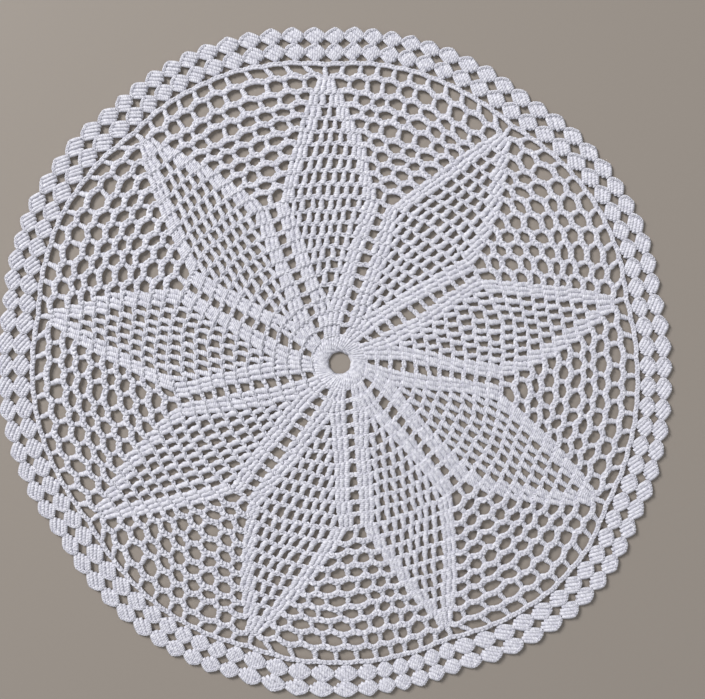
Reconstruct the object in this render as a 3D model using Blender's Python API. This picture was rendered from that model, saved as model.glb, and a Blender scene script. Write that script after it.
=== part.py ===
"""Round lace doily, crocheted in one piece from white cotton thread, lying flat.

The upper face is one sheet of triangles laid through named rings and lines: the padded
ring round the centre hole, the ridges of the rounds on nine petals, the edges of the
gaps, and the padded blocks of the border. The underside is flat, and the walls between
the two are upright. The open net is cut at up to twice its real pitch.
"""

import math

import bmesh
import bpy
from mathutils import Vector
from mathutils.geometry import delaunay_2d_cdt

MM = 0.001

# Make-up: rounds are numbered outwards from the padded ring, which is round 1.
PETALS = 9
FIRST_ROUND, LAST_FULL_ROUND, LAST_PETAL_ROUND, NET_ROUND = 2, 12, 21, 22
NET_ROWS = 5                     # coarse rows of gaps, each standing for two rounds
BLOCKS_PER_PETAL = 11
RING_SIDES = 36

# Radii of the even pattern
HOLE_RADIUS = 4.9 * MM
RING_RADIUS = 12.9 * MM
EARLY_ROUND_RADII = {2: 15.6 * MM, 3: 21.7 * MM}
ROUND_4_RADIUS = 27.9 * MM
ROUND_PITCH = 6.15 * MM
OPEN_HEIGHT = 3.9 * MM           # of a round's gaps, between the cords above and below
NET_RIM_RADIUS = 143.1 * MM
BLOCKS_INNER_RADIUS = 145.0 * MM
BLOCKS_MIDDLE_RADIUS = 152.2 * MM
SCALLOP_VALLEY_RADIUS = 158.5 * MM
SCALLOP_DEPTH = 2.9 * MM

# Widths
GAP_WIDTH = 3.4 * MM             # of the gaps between neighbouring petals
CORD_WIDTH = 2.1 * MM
FABRIC_BEVEL = 1.0 * MM
RING_BEVELS = (1.5 * MM, 2.2 * MM)
BLOCK_MARGIN = 1.3 * MM
RIDGE_STEP = 17.0 * MM           # longest straight piece of a petal's ridges
PETAL_EDGE = (                   # (radius, half of a petal's width) past its widest round
    (81.3 * MM, 23.2 * MM),
    (128.3 * MM, 7.4 * MM),
    (130.6 * MM, 4.9 * MM),
    (134.4 * MM, 3.4 * MM),
    (136.6 * MM, 1.0 * MM),
    (144.0 * MM, 1.0 * MM),
)

# Heights above the underside
CORD_HEIGHT = 1.3 * MM
FABRIC_LOW = 1.5 * MM
FABRIC_HIGH = 1.8 * MM
RING_EDGE = 1.5 * MM
RING_HIGH = 2.6 * MM
BLOCK_HIGH = 2.0 * MM

# One scallop and one block, in shares of their pitch
SCALLOP_POINTS = ((0.22, 0.72), (0.5, 1.0), (0.78, 0.72))   # (along, rise)
BLOCK_SIDES = (0.24, 0.76)
BLOCK_LEAN = 0.10

# Unevenness of the handwork. Azimuths are in degrees, anticlockwise from +X.
GAP_LINE_AZIMUTHS = (-9.4, 31.4, 72.9, 112.0, 151.1, 190.7, 232.2, 274.1, 311.8)
TIP_AZIMUTHS = (11.2, 52.7, 91.4, 130.2, 169.7, 210.9, 250.7, 290.7, 330.7)
SWIRL_OFFSET = 3.1 * MM          # the gap lines are straight and miss the centre by this
OUTLINE_WAVES = (                # (cycles round the edge, height, azimuth of a crest)
    (1, 2.1 * MM, 161.0),
    (2, 2.6 * MM, 142.0),
    (4, 1.0 * MM, 49.5),
    (5, 0.9 * MM, 32.0),
    (6, 0.5 * MM, 19.0),
)
PETAL_BULGE = (                  # (radius, how far a round bows out over a petal)
    (0.0 * MM, 0.0 * MM),
    (78.0 * MM, 1.25 * MM),
    (135.0 * MM, -0.85 * MM),
    (162.0 * MM, -0.5 * MM),
)

COTTON = (0.80, 0.81, 0.84, 1.0)
COTTON_ROUGHNESS = 0.85


def table_value(table, key):
    """Value between the rows of a table of pairs, in straight lines."""
    for (low, first), (high, last) in zip(table, table[1:]):
        if key <= high:
            return first + (last - first) * max(0.0, key - low) / (high - low)
    return table[-1][1]


def open_radii(number):
    """Inner and outer radius of the open part of a round, between its cords."""
    middle = EARLY_ROUND_RADII.get(number, ROUND_4_RADIUS + (number - 4) * ROUND_PITCH)
    outer = NET_RIM_RADIUS if number == NET_ROUND else middle + OPEN_HEIGHT / 2
    return middle - OPEN_HEIGHT / 2, outer


def place(radius, turn):
    """Plan position of a point of the even pattern, with the unevenness of the real one.
    turn counts petals anticlockwise: whole numbers are gap lines, halves are petal tips."""
    line, share = int(turn // 1) % PETALS, turn % 1.0
    start = GAP_LINE_AZIMUTHS[line]
    span = (GAP_LINE_AZIMUTHS[(line + 1) % PETALS] - start) % 360.0
    tip_shift = TIP_AZIMUTHS[line] - (start + span / 2)
    inner, outer = open_radii(LAST_FULL_ROUND)[1], open_radii(LAST_PETAL_ROUND)[1]
    reach = min(1.0, max(0.0, (radius - inner) / (outer - inner)))
    degrees = start + span * share + tip_shift * reach * (1.0 - abs(2.0 * share - 1.0))
    azimuth = math.radians(degrees) + math.asin(min(1.0, SWIRL_OFFSET / radius))
    waves = sum(
        height * math.cos(cycles * (azimuth - math.radians(crest)))
        for cycles, height, crest in OUTLINE_WAVES
    )
    bulge = -math.cos(math.tau * share) * table_value(PETAL_BULGE, radius)
    real = radius * (1.0 + waves / BLOCKS_MIDDLE_RADIUS) + bulge
    return real * math.cos(azimuth), real * math.sin(azimuth)


def arc(radius):
    """Length of one petal's share of a circle."""
    return math.tau * radius / PETALS


class UpperFace:
    """Points of the upper face with their heights, the lines that hold its creases, and
    the closed loops of its rim and gaps."""

    def __init__(self):
        self.index, self.points, self.heights = {}, [], []
        self.lines, self.gaps, self.rim = [], [], []

    def point(self, radius, turn, height):
        """Index of a point, which is made once and then shared."""
        key = (round(radius, 7), round(turn % PETALS, 7) % PETALS)
        if key not in self.index:
            self.index[key] = len(self.points)
            self.points.append(Vector(place(radius, turn)))
            self.heights.append(height)
        return self.index[key]

    def crease(self, corners, closed=False):
        """Keeps the straight edges between points in the face."""
        self.lines += list(zip(corners, corners[1:]))
        if closed:
            self.lines.append((corners[-1], corners[0]))


def add_centre(face):
    """The centre hole and the padded ring round it."""
    rings = (
        (HOLE_RADIUS, RING_EDGE),
        (HOLE_RADIUS + RING_BEVELS[0], RING_HIGH),
        (RING_RADIUS - RING_BEVELS[1], RING_HIGH),
        (RING_RADIUS, FABRIC_LOW),
    )
    for radius, height in rings:
        turns = [PETALS * i / RING_SIDES for i in range(RING_SIDES)]
        circle = [face.point(radius, turn, height) for turn in turns]
        face.crease(circle, closed=True)
        if radius == HOLE_RADIUS:
            face.gaps.append(circle)


def add_ridge(face, radius, start, end, height):
    """One line of a round across a petal, from turn to turn."""
    steps = math.ceil((end - start) * arc(radius) / RIDGE_STEP)
    turns = [start + (end - start) * i / steps for i in range(steps + 1)]
    face.crease([face.point(radius, turn, height) for turn in turns])


def add_full_rounds(face):
    """Rounds 2 to 12: petals side by side, with one small gap between neighbours."""
    for number in range(FIRST_ROUND, LAST_FULL_ROUND + 1):
        for petal in range(PETALS):
            inner_side, outer_side = [], []
            rows = zip(open_radii(number), (FABRIC_LOW, FABRIC_HIGH), (inner_side, outer_side))
            for radius, height, side in rows:
                half, bevel = GAP_WIDTH / 2 / arc(radius), FABRIC_BEVEL / arc(radius)
                side += [face.point(radius, petal + end, CORD_HEIGHT) for end in (-half, half)]
                inset = half + bevel
                add_ridge(face, radius, petal + inset, petal + 1 - inset, height)
            face.gaps.append(inner_side[::-1] + outer_side)


def petal_half(radius):
    """Half of a petal's width past round 12, as a share of its turn."""
    return table_value(PETAL_EDGE, radius) / arc(radius)


def add_petal_points(face):
    """Rounds 13 to 21: the petals narrow to their tips."""
    for number in range(LAST_FULL_ROUND + 1, LAST_PETAL_ROUND + 1):
        for radius, height in zip(open_radii(number), (FABRIC_LOW, FABRIC_HIGH)):
            half = petal_half(radius) - FABRIC_BEVEL / arc(radius)
            for petal in range(PETALS):
                add_ridge(face, radius, petal + 0.5 - half, petal + 0.5 + half, height)


def net_side(face, line, radii, edge, count, lean):
    """One side of a net gap, up the cord or petal edge that is edge steps of count along
    the row. The row spreads about a gap line; lean is +1 past a cord and -1 before it."""
    cord = CORD_WIDTH / 2 if 0 < edge < count else 0.0
    side = []
    for radius in radii:
        reach = 0.5 - petal_half(radius)
        turn = line - reach + 2 * reach * edge / count + lean * cord / arc(radius)
        side.append(face.point(radius, turn, CORD_HEIGHT))
    return side


def add_net(face):
    """Rounds 13 to 22 between the petals: each row has one gap more than the last."""
    for row in range(NET_ROWS):
        number = LAST_FULL_ROUND + 2 * row + 1
        inner, outer = open_radii(number)[0], open_radii(number + 1)[1]
        count = row + 2
        past_tip = [open_radii(number)[1], open_radii(number + 1)[0]]
        for petal in range(PETALS):
            for gap in range(count):
                sides = []
                for edge, lean in ((gap, 1), (gap + 1, -1)):
                    at_tip = number == LAST_PETAL_ROUND and edge in (0, count)
                    radii = [inner, *past_tip, outer] if at_tip else [inner, outer]
                    sides.append(net_side(face, petal, radii, edge, count, lean))
                face.gaps.append(sides[0] + sides[1][::-1])


def add_block(face, inner, outer, start, pitch):
    """The raised top of one block, leaning anticlockwise."""
    near, far = BLOCK_SIDES
    corners = [
        face.point(radius, start + (side + lean) * pitch, BLOCK_HIGH)
        for radius, side, lean in (
            (inner + BLOCK_MARGIN, near, -BLOCK_LEAN / 2),
            (inner + BLOCK_MARGIN, far, -BLOCK_LEAN / 2),
            (outer - BLOCK_MARGIN, far, BLOCK_LEAN / 2),
            (outer - BLOCK_MARGIN, near, BLOCK_LEAN / 2),
        )
    ]
    face.crease(corners, closed=True)


def add_border(face):
    """Rounds 23 and 24: padded blocks in two rows, and the scalloped rim."""
    edges = (BLOCKS_INNER_RADIUS, BLOCKS_MIDDLE_RADIUS, SCALLOP_VALLEY_RADIUS)
    pitch = 1.0 / BLOCKS_PER_PETAL
    for block in range(PETALS * BLOCKS_PER_PETAL):
        start = 0.5 + block * pitch
        valley = [face.point(radius, start, CORD_HEIGHT) for radius in edges]
        face.crease(valley)
        face.rim.append(valley[-1])
        for along, rise in SCALLOP_POINTS:
            radius = SCALLOP_VALLEY_RADIUS + SCALLOP_DEPTH * rise
            face.rim.append(face.point(radius, start + along * pitch, CORD_HEIGHT))
        add_block(face, edges[0], edges[1], start, pitch)
        add_block(face, edges[1], edges[2] + SCALLOP_DEPTH / 2, start, pitch)


def flat_triangles(points, lines, loops):
    """Triangles of the flat area inside the first loop and outside the others."""
    found = delaunay_2d_cdt(points, lines, loops, 0, 1e-7)
    corners, faces, sources, owners = found[0], found[2], found[3], found[5]
    if len(corners) != len(points):
        raise ValueError("two lines of the pattern cross")
    return [
        [sources[i][0] for i in corners_of_face]
        for corners_of_face, owner in zip(faces, owners)
        if list(owner) == [0]
    ]


def sheet_mesh(face):
    """The closed solid, with the middle of its outline over the origin."""
    rim = [face.points[i] for i in face.rim]
    low = Vector((min(p.x for p in rim), min(p.y for p in rim)))
    high = Vector((max(p.x for p in rim), max(p.y for p in rim)))
    points = [point - (low + high) / 2 for point in face.points]
    loops = [face.rim] + face.gaps

    sheet = bmesh.new()
    upper = [sheet.verts.new((*point, z)) for point, z in zip(points, face.heights)]
    for corners in flat_triangles(points, face.lines, loops):
        sheet.faces.new([upper[i] for i in corners])

    edge_points = [i for loop in loops for i in loop]
    lower = {i: sheet.verts.new((*points[i], 0.0)) for i in edge_points}
    order = {i: number for number, i in enumerate(edge_points)}
    lower_loops = [[order[i] for i in loop] for loop in loops]
    for corners in flat_triangles([points[i] for i in edge_points], [], lower_loops):
        sheet.faces.new([lower[edge_points[i]] for i in reversed(corners)])

    for loop in loops:
        for here, there in zip(loop, loop[1:] + loop[:1]):
            sheet.faces.new((upper[here], upper[there], lower[there], lower[here]))
    bmesh.ops.recalc_face_normals(sheet, faces=sheet.faces)
    mesh = bpy.data.meshes.new("doily")
    sheet.to_mesh(mesh)
    sheet.free()
    return mesh


def cotton_material():
    material = bpy.data.materials.new("cotton_thread")
    material.use_nodes = True
    shader = material.node_tree.nodes["Principled BSDF"]
    shader.inputs["Base Color"].default_value = COTTON
    shader.inputs["Roughness"].default_value = COTTON_ROUGHNESS
    shader.inputs["Metallic"].default_value = 0.0
    material.diffuse_color = COTTON
    return material


def main():
    for item in list(bpy.data.objects):
        bpy.data.objects.remove(item, do_unlink=True)
    collection = bpy.data.collections.new("lace_doily")
    bpy.context.scene.collection.children.link(collection)
    face = UpperFace()
    add_centre(face)
    add_full_rounds(face)
    add_petal_points(face)
    add_net(face)
    add_border(face)
    mesh = sheet_mesh(face)
    mesh.materials.append(cotton_material())
    doily = bpy.data.objects.new("doily", mesh)
    collection.objects.link(doily)


main()
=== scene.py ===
"""Round lace doily, crocheted in white cotton thread and laid flat: every stitch of it.

The work is drawn in an even plan, in which a point has a radius from the centre and a turn
that counts petals anticlockwise, and place() lays that plan out as unevenly as the real one.
"""

import math
import random

import bpy
import numpy as np
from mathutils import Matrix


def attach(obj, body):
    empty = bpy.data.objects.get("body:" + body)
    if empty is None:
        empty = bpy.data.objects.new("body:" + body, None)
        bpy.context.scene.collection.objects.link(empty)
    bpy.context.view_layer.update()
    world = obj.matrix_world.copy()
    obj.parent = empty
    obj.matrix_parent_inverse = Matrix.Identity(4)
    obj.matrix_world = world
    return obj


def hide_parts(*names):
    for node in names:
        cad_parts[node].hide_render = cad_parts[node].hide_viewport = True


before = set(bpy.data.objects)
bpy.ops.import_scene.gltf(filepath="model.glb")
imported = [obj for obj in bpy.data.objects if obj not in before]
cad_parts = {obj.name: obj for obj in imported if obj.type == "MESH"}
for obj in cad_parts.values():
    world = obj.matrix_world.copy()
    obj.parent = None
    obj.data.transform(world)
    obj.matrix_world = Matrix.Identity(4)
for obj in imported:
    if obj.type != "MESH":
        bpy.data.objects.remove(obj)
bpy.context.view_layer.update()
MM = 0.001

# --- Centre ring -------------------------------------------------------------------------
# The doily starts as a ring of thread wound a dozen times round a finger. Single crochets
# packed side by side cover it, so it stands proud as a padded ring with fine radial ribs.

PETALS = 9
FIRST_ROUND, LAST_FULL_ROUND, LAST_PETAL_ROUND, NET_ROUND = 2, 12, 21, 22
HUB = (2.8 * MM, -0.7 * MM)      # the middle of the work, off the middle of its outline's box
EARLY_ROUND_RADII = {2: 15.6 * MM, 3: 21.7 * MM}
ROUND_4_RADIUS = 27.9 * MM
ROUND_PITCH = 6.15 * MM
OPEN_HEIGHT = 3.9 * MM           # of a round's gaps, between the cords above and below
NET_RIM_RADIUS = 143.1 * MM
BLOCKS_MIDDLE_RADIUS = 152.2 * MM
GAP_LINE_AZIMUTHS = (-9.4, 31.4, 72.9, 112.0, 151.1, 190.7, 232.2, 274.1, 311.8)
TIP_AZIMUTHS = (11.2, 52.7, 91.4, 130.2, 169.7, 210.9, 250.7, 290.7, 330.7)
SWIRL_OFFSET = 3.1 * MM          # the gap lines are straight and miss the centre by this
OUTLINE_WAVES = (                # (cycles round the edge, height, azimuth of a crest)
    (1, 2.1 * MM, 161.0),
    (2, 2.6 * MM, 142.0),
    (4, 1.0 * MM, 49.5),
    (5, 0.9 * MM, 32.0),
    (6, 0.5 * MM, 19.0),
)
PETAL_BULGE = (                  # (radius, how far a round bows out over a petal)
    (0.0 * MM, 0.0 * MM),
    (78.0 * MM, 1.25 * MM),
    (135.0 * MM, -0.85 * MM),
    (162.0 * MM, -0.5 * MM),
)


def table_value(table, key):
    """Value between the rows of a table of pairs, in straight lines."""
    for (low, first), (high, last) in zip(table, table[1:]):
        if key <= high:
            return first + (last - first) * max(0.0, key - low) / (high - low)
    return table[-1][1]


def open_radii(number):
    """Inner and outer radius of the open part of a round, between its cords."""
    middle = EARLY_ROUND_RADII.get(number, ROUND_4_RADIUS + (number - 4) * ROUND_PITCH)
    outer = NET_RIM_RADIUS if number == NET_ROUND else middle + OPEN_HEIGHT / 2
    return middle - OPEN_HEIGHT / 2, outer


def place(radius, turn):
    """Position on the table of a point of the even plan. Whole turns are the gap lines
    between petals, and halves are the petals' tips."""
    line, share = int(turn // 1) % PETALS, turn % 1.0
    start = GAP_LINE_AZIMUTHS[line]
    span = (GAP_LINE_AZIMUTHS[(line + 1) % PETALS] - start) % 360.0
    tip_shift = TIP_AZIMUTHS[line] - (start + span / 2)
    inner, outer = open_radii(LAST_FULL_ROUND)[1], open_radii(LAST_PETAL_ROUND)[1]
    reach = min(1.0, max(0.0, (radius - inner) / (outer - inner)))
    degrees = start + span * share + tip_shift * reach * (1.0 - abs(2.0 * share - 1.0))
    azimuth = math.radians(degrees) + math.asin(min(1.0, SWIRL_OFFSET / radius))
    waves = sum(
        height * math.cos(cycles * (azimuth - math.radians(crest)))
        for cycles, height, crest in OUTLINE_WAVES
    )
    bulge = -math.cos(math.tau * share) * table_value(PETAL_BULGE, radius)
    real = radius * (1.0 + waves / BLOCKS_MIDDLE_RADIUS) + bulge
    return HUB[0] + real * math.cos(azimuth), HUB[1] + real * math.sin(azimuth)


def arc(radius):
    """Length of one petal's share of a circle."""
    return math.tau * radius / PETALS


RING_RADIUS = 12.9 * MM
UNEVENNESS = (                   # (waves round the doily, waves outwards, radial and sideways size)
    (7, 1.4, 0.40 * MM, 0.30 * MM),
    (11, -2.2, 0.35 * MM, 0.30 * MM),
    (17, 3.1, 0.30 * MM, 0.25 * MM),
)
UNEVENNESS_GROWTH = 5.0          # from the ring and from the rim, to its full size at a fifth
SIDEWAYS_PHASE = 1.3             # between the sideways and the radial waves
TIP_DIP = 1.2 * MM               # how far a petal's tip draws in the border
TIP_DIP_REACH = 0.18             # along the border, either side of the tip, in turns
TIP_DIP_FROM = 135.0 * MM        # the radius at which it begins


def by_hand(radius, turn):
    """The plan's point moved a little, as the border is drawn in at the petals' tips and
    handwork is uneven between its ring and its rim."""
    reach = min(1.0, max(0.0, (radius - TIP_DIP_FROM) / (NET_RIM_RADIUS - TIP_DIP_FROM)))
    dip = TIP_DIP * reach * max(0.0, 1.0 - abs(turn % 1.0 - 0.5) / TIP_DIP_REACH)
    outwards = (radius - RING_RADIUS) / (NET_RIM_RADIUS - RING_RADIUS)
    if not 0.0 < outwards < 1.0:
        return radius - dip, turn
    loose = min(1.0, UNEVENNESS_GROWTH * outwards, UNEVENNESS_GROWTH * (1.0 - outwards))
    away, aside = 0.0, 0.0
    for around, across, radial, sideways in UNEVENNESS:
        phase = math.tau * (around * turn / PETALS + across * outwards) + around
        away += radial * math.sin(phase)
        aside += sideways * math.cos(SIDEWAYS_PHASE * around + phase)
    return radius + loose * away - dip, turn + loose * aside / arc(radius)


THREAD = 1.05 * MM               # thickness of the thread where it is drawn tight
FLATNESS = 0.65                  # of the threads, pressed down by washing and ironing
THREAD_SIDES = 5
ROUND_SECTION = np.exp(2j * np.pi * np.arange(THREAD_SIDES) / THREAD_SIDES)
TWIST_LOBES = 3
LOBE_RADII = np.tile((1.0, 0.77, 0.77), TWIST_LOBES)
TWIST_SECTION = LOBE_RADII * np.exp(2j * np.pi * np.arange(LOBE_RADII.size) / LOBE_RADII.size)
MAP_SHIFT = 0.618                # of each thread's map past the last one's, so no two are alike


class Work:
    """The threads of one piece, each a list of points (radius, turn, height, thickness)."""

    def __init__(self):
        self.groups = {}

    def lay(self, points, twists=None):
        """One thread through the points. With twists, a bundle of three that makes that
        many turns round itself, as the legs of a tall stitch do."""
        key = (len(points), twists is not None)
        rows = [
            (*place(*by_hand(radius, turn)), height, thick)
            for radius, turn, height, thick in points
        ]
        self.groups.setdefault(key, []).append((rows, twists or 0.0))

    def piece(self, name, material):
        """All the threads as closed tubes, joined in one mesh object."""
        corners, faces, maps, count = [], [], [], 0
        for (steps, twisted), threads in self.groups.items():
            section = TWIST_SECTION if twisted else ROUND_SECTION
            rows = np.array([rows for rows, _ in threads])
            turns = np.array([turns for _, turns in threads])
            rings = tube_rings(rows, turns, section)
            corners.append(rings.reshape(-1, 3))
            faces_here, maps_here = tube_faces(len(threads), steps, len(section), count)
            faces.append(faces_here)
            maps.append(maps_here)
            count += rings.shape[0] * steps * len(section)
        return joined_mesh(name, np.concatenate(corners), faces, maps, material)


def tube_rings(rows, turns, section):
    """Corner points of the tubes, [thread, step, side, xyz], flat where they lie on the table."""
    middle, half = rows[:, :, :3], rows[:, :, 3:] / 2
    along = np.gradient(middle, axis=1)
    along /= np.linalg.norm(along, axis=2, keepdims=True)
    side = np.cross(along[:, 0], (0.0, 0.0, 1.0))
    sides = []
    for step in range(middle.shape[1]):
        side = side - (side * along[:, step]).sum(1, keepdims=True) * along[:, step]
        side /= np.linalg.norm(side, axis=1, keepdims=True)
        sides.append(side)
    sides = np.stack(sides, axis=1)
    ups = np.cross(sides, along) * FLATNESS
    angle = turns[:, None] * math.tau * np.linspace(0.0, 1.0, middle.shape[1])[None, :]
    spun = section[None, None, :] * np.exp(1j * angle)[:, :, None]
    across, above = spun.real[..., None], spun.imag[..., None]
    offset = across * sides[:, :, None] + above * ups[:, :, None]
    rings = middle[:, :, None] + offset * half[:, :, None]
    rings[..., 2] = np.maximum(rings[..., 2], 0.0)
    return rings


def tube_faces(threads, steps, sides, first):
    """Corner numbers of the tubes' walls and end caps, with the walls' map coordinates."""
    base = first + np.arange(threads)[:, None, None] * steps * sides
    ring = np.arange(steps - 1)[None, :, None] * sides
    here = np.arange(sides)[None, None, :]
    there = (here + 1) % sides
    walls = np.stack(
        [base + ring + here, base + ring + there, base + ring + sides + there,
         base + ring + sides + here], axis=-1
    ).reshape(-1, 4)
    start = np.flip(base[:, :, 0] + np.arange(sides), axis=1)
    end = base[:, :, 0] + (steps - 1) * sides + np.arange(sides)
    side_map = np.broadcast_to(here / sides, (threads, steps - 1, sides))
    shift = (np.arange(threads) * MAP_SHIFT % 1.0)[:, None, None]
    step_map = np.broadcast_to(ring / sides / (steps - 1) + shift, (threads, steps - 1, sides))
    low, high = step_map, step_map + 1 / (steps - 1)
    right = side_map + 1 / sides
    corners = ((side_map, low), (right, low), (right, high), (side_map, high))
    maps = np.stack([np.stack(pair, axis=-1) for pair in corners], axis=3).reshape(-1, 4, 2)
    return (walls, np.concatenate([start, end])), maps


def joined_mesh(name, corners, faces, maps, material):
    """A mesh object from corner points, wall and cap faces, and the walls' coordinates."""
    loops, starts, coordinates, at = [], [], [], 0
    for (walls, caps), wall_maps in zip(faces, maps):
        for polygons, places in ((walls, wall_maps), (caps, np.zeros((*caps.shape, 2)))):
            loops.append(polygons.ravel())
            starts.append(at + np.arange(len(polygons)) * polygons.shape[1])
            coordinates.append(places.reshape(-1, 2))
            at += polygons.size
    mesh = bpy.data.meshes.new(name)
    mesh.vertices.add(len(corners))
    mesh.vertices.foreach_set("co", corners.astype(np.float32).ravel())
    mesh.loops.add(at)
    mesh.loops.foreach_set("vertex_index", np.concatenate(loops).astype(np.int32))
    starts = np.concatenate(starts).astype(np.int32)
    mesh.polygons.add(len(starts))
    mesh.polygons.foreach_set("loop_start", starts)
    mesh.update(calc_edges=True)
    thread_map = mesh.uv_layers.new(name="thread")
    thread_map.uv.foreach_set("vector", np.concatenate(coordinates).astype(np.float32).ravel())
    mesh.shade_smooth()
    mesh.materials.append(material)
    item = bpy.data.objects.new(name, mesh)
    bpy.context.scene.collection.objects.link(item)
    return item


class Value:
    """A shader socket on which Python's operators add Math nodes."""

    def __init__(self, tree, socket):
        self.tree, self.socket = tree, socket

    def node(self, kind, settings=(), **inputs):
        """A node of any kind: its settings first, then its sockets' values or links."""
        made = self.tree.nodes.new(kind)
        for name, value in dict(settings).items():
            setattr(made, name, value)
        for key, value in inputs.items():
            socket = made.inputs[int(key[1:])] if key[1:].isdigit() else made.inputs[key]
            if isinstance(value, Value):
                self.tree.links.new(value.socket, socket)
            else:
                socket.default_value = value
        return made

    def maths(self, operation, first, second=0.0):
        made = self.node("ShaderNodeMath", {"operation": operation}, _0=first, _1=second)
        return Value(self.tree, made.outputs[0])

    def __add__(self, other):
        return self.maths("ADD", self, other)

    def __sub__(self, other):
        return self.maths("SUBTRACT", self, other)

    def __rsub__(self, other):
        return self.maths("SUBTRACT", other, self)

    def __mul__(self, other):
        return self.maths("MULTIPLY", self, other)

    __radd__, __rmul__ = __add__, __mul__

    def sine(self):
        return self.maths("SINE", self)


COTTON = (0.935, 0.92, 0.98)
COTTON_SHADE = (0.53, 0.52, 0.60)
COTTON_ROUGHNESS = 0.65
SHEEN, SHEEN_ROUGHNESS = 0.25, 0.5
MOTTLE_SCALE, MOTTLE_DETAIL, MOTTLE_CONTRAST = 650.0, 3.0, 2.2
PLIES_ROUND = 2.0                # ridges that the thread's plies show round a thread
PLY_TURNS = 6.0                  # of the plies along one stitch
PLY_DEPTH, PLY_BUMP = 0.12 * MM, 0.6


def cotton_material():
    """White mercerised cotton: fine diagonal plies, a soft sheen and faint blotches."""
    material = bpy.data.materials.new("cotton_thread")
    material.use_nodes = True
    tree = material.node_tree
    shader = tree.nodes["Principled BSDF"]
    graph = Value(tree, None)
    spots = graph.node("ShaderNodeTexNoise", {}, Scale=MOTTLE_SCALE, Detail=MOTTLE_DETAIL)
    position = graph.node("ShaderNodeTexCoord")
    tree.links.new(position.outputs["Object"], spots.inputs["Vector"])
    mottle = (Value(tree, spots.outputs["Fac"]) - 0.5) * MOTTLE_CONTRAST + 0.5
    tone = graph.node("ShaderNodeMix", {"data_type": "RGBA"}, _0=mottle,
                      _6=(*COTTON, 1.0), _7=(*COTTON_SHADE, 1.0))
    tree.links.new(tone.outputs[2], shader.inputs["Base Color"])
    thread = graph.node("ShaderNodeUVMap", {"uv_map": "thread"})
    split = graph.node("ShaderNodeSeparateXYZ")
    tree.links.new(thread.outputs["UV"], split.inputs[0])
    around, length = (Value(tree, split.outputs[i]) for i in (0, 1))
    plies = ((around * PLIES_ROUND + length * PLY_TURNS) * math.tau).sine()
    bump = graph.node("ShaderNodeBump", {}, Strength=PLY_BUMP, Distance=PLY_DEPTH, Height=plies)
    tree.links.new(bump.outputs["Normal"], shader.inputs["Normal"])
    shader.inputs["Roughness"].default_value = COTTON_ROUGHNESS
    shader.inputs["Sheen Weight"].default_value = SHEEN
    shader.inputs["Sheen Roughness"].default_value = SHEEN_ROUGHNESS
    return material


cotton = cotton_material()
SEED = 9
chance = random.Random(SEED)     # of all that varies from stitch to stitch

CHAIN_LOOP = (                   # (along, across, above) of a stitch's thread, in shares of
    (-0.62, -0.10, -0.26),       # the stitch's length, width and thickness
    (0.02, -0.38, 0.0),
    (0.56, -0.46, 0.16),
    (0.94, 0.0, 0.28),
    (0.56, 0.46, 0.16),
    (0.02, 0.38, 0.0),
    (-0.62, 0.10, -0.26),
)
CHAIN_LOOP_START = 0.27          # how far the loop is set back along its stitch
CHAIN_LOOP_WIDTH = 0.92          # between its two sides, in shares of its width
CHAIN_WIDTH_SPREAD = (0.92, 1.08)
ROUTE_STEP = 0.01                # each way along a route, to find which way it runs
BACKING_SHARE = 0.78             # of a chain's width, that the thread behind it takes
BACKING_DROP = 0.14              # of that thread, in shares of the chain's thickness


def chain(work, route, stitches, width, thick=THREAD, backing=None, ends=1.0):
    """Chain stitches along a route, which gives (radius, turn, height) for a share of its
    length. Each is a loop: its tail lies in the last one's head, and its head on top. The
    thread that runs behind them goes to the backing work, and the first and the last are
    larger by the factor ends."""
    for number in range(stitches):
        points = []
        larger = ends if number in (0, stitches - 1) else 1.0
        wide = width * larger * chance.uniform(*CHAIN_WIDTH_SPREAD)
        for along, across, above in CHAIN_LOOP:
            share = (number + 0.5 + along - CHAIN_LOOP_START) / stitches
            radius, turn, height = route(min(1.0, max(0.0, share)))
            next_radius, next_turn, _ = route(min(1.0, max(0.0, share) + ROUTE_STEP))
            last_radius, last_turn, _ = route(max(0.0, min(1.0, share) - ROUTE_STEP))
            rise = next_radius - last_radius
            run = (next_turn - last_turn) * arc(radius)
            length = math.hypot(rise, run)
            out, back = run / length, -rise / length
            offset = across * wide
            points.append((
                radius + offset * out,
                turn + offset * back / arc(radius),
                height + above * thick,
                thick * larger,
            ))
        work.lay(points)
    steps = 2 * stitches
    behind = [route(step / steps) for step in range(steps + 1)]
    wide = BACKING_SHARE * (CHAIN_LOOP_WIDTH * width + thick)
    (backing or work).lay([
        (radius, turn, height - BACKING_DROP * thick, wide) for radius, turn, height in behind
    ])


HOLE_RADIUS = 4.9 * MM
RING_CORE_COILS = (              # (radius, height, thickness) of the thread wound first, in mm
    (6.6, 0.8, 1.6),
    (8.2, 0.9, 1.8),
    (9.9, 0.85, 1.8),
    (11.3, 0.7, 1.4),
)
RING_CORE_SIDES = 48
RING_STITCHES = 54
RING_STITCH = (                  # (radius, height, thickness) along one covering stitch, in mm
    (6.0, 0.4, 0.9),
    (5.4, 0.8, 0.95),
    (6.0, 1.25, 1.0),
    (7.3, 1.5, 1.25),
    (8.9, 1.6, 1.5),
    (10.6, 1.5, 1.75),
    (12.0, 1.25, 1.9),
    (12.9, 0.85, 1.9),
)
RING_STITCH_SHIFT = 0.12         # at most, either way, in shares of the stitches' pitch
RING_STITCH_LIFT = 0.05          # at most, either way, in mm
RING_STITCH_SLANT = 0.006        # clockwise, in turns for each mm outwards
RING_CHAIN_RADIUS = 13.0 * MM
RING_CHAIN_HEIGHT = 1.05 * MM
RING_CHAIN_WIDTH = 1.5 * MM
RING_CHAINS = 42

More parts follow.
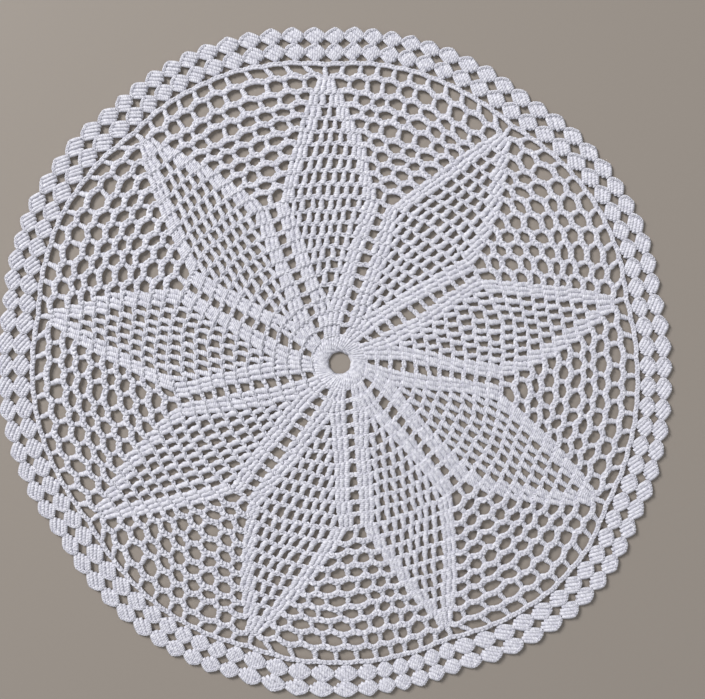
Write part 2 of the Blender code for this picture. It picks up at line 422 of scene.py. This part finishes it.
ring = Work()
for radius, height, thick in RING_CORE_COILS:
    ring.lay([
        (radius * MM, PETALS * side / RING_CORE_SIDES, height * MM, thick * MM)
        for side in range(RING_CORE_SIDES + 1)
    ])
for number in range(RING_STITCHES):
    shift = chance.uniform(-RING_STITCH_SHIFT, RING_STITCH_SHIFT)
    turn = PETALS * (number + shift) / RING_STITCHES
    lift = chance.uniform(-RING_STITCH_LIFT, RING_STITCH_LIFT)
    ring.lay([
        (radius * MM, turn - RING_STITCH_SLANT * (radius - HOLE_RADIUS / MM),
         (height + lift) * MM, thick * MM)
        for radius, height, thick in RING_STITCH
    ])
chain(ring, lambda share: (RING_CHAIN_RADIUS, PETALS * share, RING_CHAIN_HEIGHT), RING_CHAINS,
      RING_CHAIN_WIDTH)
centre_ring = ring.piece("centre_ring", cotton)

# --- Petals ------------------------------------------------------------------------------
# Nine pointed petals grow outwards, a round at a time. Their edges are bands of three tall
# stitches and their middles a filet mesh, one tall stitch over each gap of the round below.
# Neighbouring petals are held together by two chain stitches in every round up to the 12th.

GAP_WIDTHS = (                   # (radius, width) of the gaps between neighbouring petals
    (18.0 * MM, 3.0 * MM),
    (34.0 * MM, 4.3 * MM),
    (60.0 * MM, 4.1 * MM),
    (80.0 * MM, 3.1 * MM),
)
SOLID_ROUNDS = {FIRST_ROUND: 4, FIRST_ROUND + 1: 5, LAST_PETAL_ROUND: 4}  # and their stitches
FIRST_MESH_ROUND = 4
BAND_STITCHES = 3
PETAL_EDGES = (                  # (radius, width clockwise and anticlockwise of its middle)
    (80.0 * MM, 26.2 * MM, 23.6 * MM),       # of a petal, past its widest round
    (89.4 * MM, 24.0 * MM, 20.8 * MM),
    (101.7 * MM, 20.8 * MM, 16.6 * MM),
    (107.8 * MM, 19.0 * MM, 14.9 * MM),
    (120.2 * MM, 13.1 * MM, 10.8 * MM),
    (129.4 * MM, 7.9 * MM, 7.2 * MM),
    (137.0 * MM, 3.9 * MM, 3.9 * MM),
    (144.0 * MM, 1.0 * MM, 1.0 * MM),
)
LAST_RIDGE_RADIUS = 136.9 * MM   # of the stitch heads that end a petal
RIM_RIDGE_RISE = 0.9 * MM        # of the net's last heads past its rim
POST_WIDTH = 2.8 * MM
POST_WIDTH_SPREAD = (0.94, 1.12)
POST_HEIGHT = 1.15 * MM
POST_TWISTS = (0.7, 1.0)
POST_BOW = 0.3                   # at most, either way, in mm
POST_POINTS = 9
POST_END_HEIGHT, POST_BELLY = 0.86, 0.18     # of its height, and what its middle adds
BAND_POST_WIDTH = 2.9 * MM
FIRST_POST_WIDTH = 2.35 * MM
WAIST = 0.05                     # drawing in of a tall stitch above and below its middle wrap
FLARE = 0.45                     # how much wider its foot is than its head
FOOT_DEPTH = 0.3 * MM            # of a stitch's foot inside the ridge that it is worked into
HEAD_REACH = 0.2 * MM            # of its head past the ridge of its own round
STITCH_SHIFT = 0.4               # at most, either way, of a foot or a head, in mm
BAND_PAD_WIDTH = 3.4 * MM        # of the thread that lies under a band's stitches
BAND_PAD_HEIGHT = 0.35 * MM
BAND_PAD_SPOT = 0.64             # along the stitches, from foot to head
RIDGE_HEIGHT = 1.15 * MM
RIDGE_WIDTH = 1.4 * MM
RIDGE_THREAD = 1.25 * MM
RIDGE_ZIGZAG = 0.45 * MM         # of a ridge over a petal's mesh, inwards clockwise over a gap
RIDGE_SWING = (0.15, 0.45)       # least and most of its wave, in mm
RIDGE_WAVE = 0.9                 # angle of that wave for each chain stitch
GAP_CHAIN_SCALE = 1.1            # of the two chain stitches between neighbouring petals
LEAN = 1.0 * MM                  # clockwise, of the tall stitches' heads past their feet
LEANING_FROM = 70.0 * MM         # the radius from which they lean so far
SAG_REACH = 0.32                 # either side of a petal's middle, in turns
SAG_SLOPE = 0.24                 # of that, the stretch in which it grows
SAG = (                          # (radius, how far rounds are drawn in along a petal's middle)
    (36.0 * MM, 0.2 * MM),
    (56.0 * MM, 1.4 * MM),
    (74.0 * MM, 1.9 * MM),
    (90.0 * MM, 1.5 * MM),
    (106.0 * MM, 0.8 * MM),
    (140.0 * MM, 0.6 * MM),
)


def between(first, last, share):
    """The point at a share of the way from the first point to the last."""
    return [a + (b - a) * share for a, b in zip(first, last)]


def petal_sides(radius):
    """A petal's width clockwise and anticlockwise of its middle past round 12, in turns."""
    return [
        table_value([(row[0], row[side]) for row in PETAL_EDGES], radius) / arc(radius)
        for side in (1, 2)
    ]


def ridge_radius(number):
    """Radius of the line of stitch heads that ends a round."""
    if number < FIRST_ROUND:
        return RING_RADIUS
    if number == NET_ROUND:
        return NET_RIM_RADIUS + RIM_RIDGE_RISE
    if number == LAST_PETAL_ROUND:
        return LAST_RIDGE_RADIUS
    return (open_radii(number)[1] + open_radii(number + 1)[0]) / 2


def drawn_in(radius, turn):
    """The radius of a point of a petal's round, once its middle is drawn in."""
    off = abs(turn % 1.0 - 0.5)
    return radius - table_value(SAG, radius) * min(1.0, max(0.0, (SAG_REACH - off) / SAG_SLOPE))


def petal_stitches(number):
    """The stitches of one round of a petal, True for a tall stitch and False for a gap."""
    if number in SOLID_ROUNDS:
        return [True] * SOLID_ROUNDS[number]
    widening = number <= LAST_FULL_ROUND
    gaps = number - FIRST_MESH_ROUND + 1 if widening else LAST_PETAL_ROUND - number
    band = [True] * BAND_STITCHES
    return band + [False, True] * (gaps - 1) + [False] + band


def round_sides(number, radius):
    """Width of a petal's round clockwise and anticlockwise of its middle, in turns."""
    if number <= LAST_FULL_ROUND:
        return [0.5 - table_value(GAP_WIDTHS, radius) / 2 / arc(radius)] * 2
    return petal_sides(radius)


def post(work, foot, head, width, height=POST_HEIGHT):
    """A tall stitch from its foot to its head, each (radius, turn)."""
    twists = chance.uniform(*POST_TWISTS)
    bow = chance.uniform(-POST_BOW, POST_BOW) * MM
    width *= chance.uniform(*POST_WIDTH_SPREAD)
    points = []
    for step in range(POST_POINTS):
        share = step / (POST_POINTS - 1)
        radius, turn = between(foot, head, share)
        belly = math.sin(math.pi * share)
        turn += bow * belly / arc(radius)
        waist = 1.0 + WAIST * math.cos(2 * math.tau * share) + FLARE * (0.5 - share)
        rise = POST_END_HEIGHT + POST_BELLY * belly
        points.append((radius, turn, height * rise, width * waist))
    work.lay(points, twists=-twists)


def petal_round(work, heads, petal, number):
    """One round of a petal: its tall stitches, the padding under its bands, and the ridge of
    stitch heads that ends it. Up to round 12 the ridge runs on to the next petal."""
    stitches = petal_stitches(number)
    count = len(stitches)
    inner, outer = ridge_radius(number - 1), ridge_radius(number)
    widening = number <= LAST_FULL_ROUND
    head_sides, foot_sides = round_sides(number, outer), round_sides(number, inner)
    step_head = sum(head_sides) / count
    if number == FIRST_ROUND:
        step_foot = step_head
    else:
        step_foot = sum(foot_sides) / (count - 2 if widening else count + 1)
    head_middle, foot_middle = (
        petal + 0.5 + (sides[1] - sides[0]) / 2 for sides in (head_sides, foot_sides)
    )
    has_mesh = number not in SOLID_ROUNDS
    pads = [[], []]
    for index, solid in enumerate(stitches):
        if not solid:
            continue
        in_band = min(index, count - 1 - index) < BAND_STITCHES
        spot = index + 0.5 - count / 2
        base = spot
        if number == FIRST_ROUND + 1:
            base = spot * (count - 2) / count
        elif widening and has_mesh and in_band:
            base = spot - math.copysign(1.0, spot)
        shift = [chance.uniform(-STITCH_SHIFT, STITCH_SHIFT) * MM for _ in range(2)]
        lean = LEAN * min(1.0, outer / LEANING_FROM)
        foot_turn = foot_middle + base * step_foot + (lean / 2 + shift[0]) / arc(inner)
        head_turn = head_middle + spot * step_head + (shift[1] - lean / 2) / arc(outer)
        foot = (drawn_in(inner, foot_turn) - FOOT_DEPTH, foot_turn)
        head = (drawn_in(outer, head_turn) + HEAD_REACH, head_turn)
        width = BAND_POST_WIDTH if in_band else POST_WIDTH
        post(work, foot, head, FIRST_POST_WIDTH if number == FIRST_ROUND else width)
        if in_band:
            under = between(foot, head, BAND_PAD_SPOT)
            pad = pads[has_mesh and index > BAND_STITCHES]
            pad.append((*under, BAND_PAD_HEIGHT, BAND_PAD_WIDTH))
    for pad in pads:
        if pad:
            heads.lay(pad)
    if widening:
        start, end, chains = petal, petal + 1, count + 2
    else:
        start, end = petal + 0.5 - head_sides[0], petal + 0.5 + head_sides[1]
        chains = count
    phase, swing = chance.uniform(0.0, math.tau), chance.uniform(*RIDGE_SWING) * MM

    def ridge_line(share):
        wave = swing * math.sin(phase + share * chains * RIDGE_WAVE)
        turn = start + (end - start) * share
        place_on = (turn - head_middle) / step_head + count / 2
        inside = min(place_on, count - place_on) - BAND_STITCHES
        if has_mesh:
            zigzag = RIDGE_ZIGZAG * min(1.0, max(0.0, inside))
            wave -= zigzag * math.sin(math.pi * (place_on - 0.5))
        return drawn_in(outer, turn) + wave, turn, RIDGE_HEIGHT

    ends = GAP_CHAIN_SCALE if widening else 1.0
    chain(heads, ridge_line, chains, RIDGE_WIDTH, RIDGE_THREAD, ends=ends)


petals, ridges = [], []
for petal in range(PETALS):
    work, heads = Work(), Work()
    for number in range(FIRST_ROUND, LAST_PETAL_ROUND + 1):
        petal_round(work, heads, petal, number)
    petals.append(work.piece(f"petal_{petal + 1}", cotton))
    ridges.append(heads.piece(f"petal_ridges_{petal + 1}", cotton))

# --- Ground net --------------------------------------------------------------------------
# Loops of chain fill the notches between the petals. Each tall stitch stands on the middle
# of a loop of the round below, so a notch has one loop more in every round, and the loops
# pull each other into uneven shields.

NET_CORD_WIDTH = 1.8 * MM
NET_THREAD = 1.75 * MM           # thicker, as loose chains are
RIM_CORD_WIDTH = 1.4 * MM        # of the last round's chains, which are drawn tight
RIM_THREAD = 1.45 * MM
NET_HEIGHT = 1.2 * MM
NET_POST_HEIGHT = 0.95 * MM
NET_POST_WIDTH = 2.8 * MM
NET_OVERLAP = 1.8 * MM           # of its loops' ends, with the petals they're joined to
CHAIN_LENGTH = 2.3 * MM          # of one chain stitch
LEAST_CHAINS = 3                 # in a loop
LOOP_DIP = 0.8 * MM              # of a loop's ends, inside the line of its round's heads
LOOP_RISE = 0.9 * MM             # of its middle, outside that line
LOOP_RISE_SPREAD = (0.7, 1.2)
NODE_DRIFT, NODE_BACK = 1.3, 0.3             # a head's drift either way, and all heads', in mm
NODE_LIFT = 0.8                  # either way, outwards, in mm
NET_FOOT_DEPTH = 0.4 * MM        # of a stitch's foot inside the loop that it stands on
RIM_CALM = 0.3                   # of the last round's drift and lift, against the others'
RIM_DIP_SHARE = 0.4              # of its loops' dip, likewise
RIM_RISE = 0.5 * MM
TIP_LEAN = 0.6 * MM              # anticlockwise, of the stitch on a petal's tip
FIRST_FOOT_SHIFT = 1.2 * MM      # of the stitch beside a tip in the last round, towards it
RIM_FAN = (2.3 * MM, -0.6 * MM)  # anticlockwise lean of that round's stitches along a notch


def net_nodes(line, number):
    """Heads of a round's tall stitches, first and last on the petals at its sides."""
    radius, count = ridge_radius(number), number - LAST_FULL_ROUND + 1
    ahead, behind = 0.5, 0.5
    if number < NET_ROUND:
        clockwise, anticlockwise = petal_sides(radius)
        ahead -= max(0.0, clockwise - NET_OVERLAP / arc(radius))
        behind -= max(0.0, anticlockwise - NET_OVERLAP / arc(radius))
    nodes = []
    for edge in range(count + 1):
        turn = line - behind + (ahead + behind) * edge / count
        at_side = edge in (0, count)
        drift = 0.0 if at_side else (chance.uniform(-NODE_DRIFT, NODE_DRIFT) - NODE_BACK) * MM
        dip = 0.0 if at_side and number < NET_ROUND else LOOP_DIP
        lift = 0.0 if at_side else chance.uniform(-NODE_LIFT, NODE_LIFT) * MM
        if number == NET_ROUND:
            drift, lift, dip = drift * RIM_CALM, lift * RIM_CALM, dip * RIM_DIP_SHARE
            if not at_side:
                drift += RIM_FAN[0] + (RIM_FAN[1] - RIM_FAN[0]) * edge / count
        nodes.append((radius - dip + lift, turn + drift / arc(radius)))
    return nodes


def net_loop(work, posts, start, end, rise, width, thick):
    """A loop of chain between two heads, with its middle pulled outwards."""
    length = math.hypot(end[0] - start[0], (end[1] - start[1]) * arc(start[0]))
    stitches = max(LEAST_CHAINS, round(length / CHAIN_LENGTH))

    def route(share):
        radius, turn = between(start, end, share)
        return radius + rise * math.sin(math.pi * share), turn, NET_HEIGHT

    chain(work, route, stitches, width, thick, backing=posts)
    return route(0.5)[:2]


def net_round(work, posts, line, number, feet):
    """One round of a notch on the feet given, and the middles of its loops."""
    nodes = net_nodes(line, number)
    if number == NET_ROUND:
        feet[0] = (feet[0][0], feet[0][1] - FIRST_FOOT_SHIFT / arc(feet[0][0]))
    for foot, head in zip(feet, nodes[1:-1]):
        post(posts, (foot[0] - NET_FOOT_DEPTH, foot[1]), (head[0] + HEAD_REACH, head[1]),
             NET_POST_WIDTH, NET_POST_HEIGHT)
    rise, width, thick = LOOP_RISE + LOOP_DIP, NET_CORD_WIDTH, NET_THREAD
    if number == NET_ROUND:
        rise, width, thick = RIM_RISE, RIM_CORD_WIDTH, RIM_THREAD
    return [
        net_loop(work, posts, start, end, rise * chance.uniform(*LOOP_RISE_SPREAD), width, thick)
        for start, end in zip(nodes, nodes[1:])
    ]


nets, net_posts = [], []
for line in range(PETALS):
    work, posts = Work(), Work()
    feet = [(ridge_radius(LAST_FULL_ROUND), float(line))]
    for number in range(LAST_FULL_ROUND + 1, NET_ROUND + 1):
        feet = net_round(work, posts, line, number, feet)
    tip = (ridge_radius(LAST_PETAL_ROUND) - NET_FOOT_DEPTH, line + 0.5)
    head = (ridge_radius(NET_ROUND), line + 0.5 + TIP_LEAN / arc(NET_RIM_RADIUS))
    post(posts, tip, head, NET_POST_WIDTH, NET_POST_HEIGHT)
    nets.append(work.piece(f"net_{line + 1}", cotton))
    net_posts.append(posts.piece(f"net_posts_{line + 1}", cotton))

# --- Border ------------------------------------------------------------------------------
# Two rows of small padded blocks close the edge. Each block is a group of tall stitches
# worked into one loop, which lie slanting side by side. It meets its neighbours only at its
# widest, and the outer row's heads make the scallops of the rim.

BLOCKS_PER_PETAL = 11
BLOCK_ROWS = {                   # piece: (radius, how long its blocks are outwards)
    "border_inner": (149.1 * MM, 1.1),
    "border_outer": (156.7 * MM, 1.04),
}
BLOCK_PITCH = 10.0 * MM          # the one that the bars are drawn for
BLOCK_BARS = (                   # head and foot of each tall stitch, in mm clockwise and
    ((-4.6, -0.3), (0.5, -3.6)),             # outwards of the block's middle
    ((-4.8, 1.2), (1.8, -3.1)),
    ((-3.5, 2.4), (3.5, -2.1)),
    ((-1.9, 3.2), (4.8, -0.9)),
    ((0.1, 3.6), (4.8, 0.6)),
)
BAR_SHIFT = 0.25                 # at most, either way, of a head or a foot, in mm
BAR_STEPS = 6
BAR_END_HEIGHT, BAR_BELLY = 0.9, 0.25        # of the block's height, and what a middle adds
BAR_END_WIDTH, BAR_SWELL = 0.84, 0.18        # of the stitch's width, likewise
BLOCK_HEIGHT = 1.0 * MM
BLOCK_STITCH_WIDTH = 2.25 * MM
PAD_WIDTH = 3.0 * MM             # of the two threads that lie under a block's stitches
PAD_HEIGHT = 0.6 * MM
PAD_SPOTS = (0.3, 0.68)          # along the stitches, from foot to head
BLOCK_EDGE_INSET = 0.05          # of the chain along the heads, in shares of a stitch
BLOCK_EDGE_HEIGHT = 1.25 * MM
BLOCK_EDGE_WIDTH = 0.9 * MM
BLOCK_EDGE_THREAD = 1.1 * MM
EDGE_CHAINS = 6


def block(work, row_radius, tall, number):
    """One block of a row: its tall stitches side by side, the two threads that pad it under
    them, and the chain of their heads along its outer side."""
    middle = 0.5 + (number + 0.5) / BLOCKS_PER_PETAL
    stretch = arc(row_radius) / BLOCKS_PER_PETAL / BLOCK_PITCH

    def laid(spot, height):
        radius = row_radius + spot[1] * tall * MM
        return radius, middle - spot[0] * stretch * MM / arc(row_radius), height

    heads, pads = [], [[] for _ in PAD_SPOTS]
    for bar in BLOCK_BARS:
        head, foot = (
            [value + chance.uniform(-BAR_SHIFT, BAR_SHIFT) for value in end] for end in bar
        )
        heads.append(between(head, foot, BLOCK_EDGE_INSET))
        for pad, share in zip(pads, PAD_SPOTS):
            pad.append((*laid(between(foot, head, share), PAD_HEIGHT), PAD_WIDTH))
        points = []
        for step in range(BAR_STEPS + 1):
            share = step / BAR_STEPS
            belly = math.sin(math.pi * share)
            height = BLOCK_HEIGHT * (BAR_END_HEIGHT + BAR_BELLY * belly)
            width = BLOCK_STITCH_WIDTH * (BAR_END_WIDTH + BAR_SWELL * belly)
            points.append((*laid(between(foot, head, share), height), width))
        work.lay(points)
    for pad in pads:
        work.lay(pad)

    def edge(share):
        place_on = share * (len(heads) - 1)
        first = min(int(place_on), len(heads) - 2)
        spot = between(heads[first], heads[first + 1], place_on - first)
        return laid(spot, BLOCK_EDGE_HEIGHT)

    chain(work, edge, EDGE_CHAINS, BLOCK_EDGE_WIDTH, BLOCK_EDGE_THREAD)


borders = []
for name, (row_radius, tall) in BLOCK_ROWS.items():
    work = Work()
    for number in range(PETALS * BLOCKS_PER_PETAL):
        block(work, row_radius, tall, number)
    borders.append(work.piece(name, cotton))

pieces = [centre_ring, *petals, *ridges, *nets, *net_posts, *borders]
for piece in pieces:
    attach(piece, "root")
    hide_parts("doily")

# --- Floor, light and camera -------------------------------------------------------------
# A plain pale floor under the doily, one large soft lamp from the upper left and a weaker
# one from the lower right, and a camera straight above.

FLOOR_COLOUR = (0.33, 0.285, 0.245)
FLOOR_ROUGHNESS = 0.7
FLOOR_SIZE = 6.0
FLOOR_DROP = 0.0001              # below the doily's underside
bpy.ops.mesh.primitive_plane_add(size=FLOOR_SIZE, location=(0.0, 0.0, -FLOOR_DROP))
floor = bpy.context.object
floor.name = "floor"
floor_material = bpy.data.materials.new("floor")
floor_material.use_nodes = True
floor_shader = floor_material.node_tree.nodes["Principled BSDF"]
floor_shader.inputs["Base Color"].default_value = (*FLOOR_COLOUR, 1.0)
floor_shader.inputs["Roughness"].default_value = FLOOR_ROUGHNESS
floor.data.materials.append(floor_material)

LAMPS = (                        # (name, place, size, power)
    ("key_lamp", (-1.5, 1.4, 1.6), 0.9, 65.0),
    ("fill_lamp", (1.4, -1.1, 2.0), 2.0, 12.0),
)
SKY_COLOUR, SKY_STRENGTH = (0.9, 0.95, 1.0), 0.27


def lamp(name, place_at, size, power):
    """A square soft lamp that points at the doily."""
    data = bpy.data.lights.new(name, "AREA")
    data.size, data.energy = size, power
    item = bpy.data.objects.new(name, data)
    item.location = place_at
    direction = -item.location.normalized()
    item.rotation_euler = direction.to_track_quat("-Z", "Y").to_euler()
    bpy.context.scene.collection.objects.link(item)


for values in LAMPS:
    lamp(*values)
world = bpy.data.worlds.new("studio")
world.use_nodes = True
sky = world.node_tree.nodes["Background"]
sky.inputs["Color"].default_value = (*SKY_COLOUR, 1.0)
sky.inputs["Strength"].default_value = SKY_STRENGTH
bpy.context.scene.world = world
bpy.context.scene.view_settings.view_transform = "Standard"

VIEW_WIDTH = 335.6 * MM
VIEW_CENTRE = (8.8 * MM, 5.7 * MM)
LENS, SENSOR_WIDTH = 50.0, 36.0
camera_data = bpy.data.cameras.new("camera")
camera_data.lens, camera_data.sensor_width = LENS, SENSOR_WIDTH
camera = bpy.data.objects.new("camera", camera_data)
camera.location = (*VIEW_CENTRE, VIEW_WIDTH * LENS / SENSOR_WIDTH)
bpy.context.scene.collection.objects.link(camera)
bpy.context.scene.camera = camera
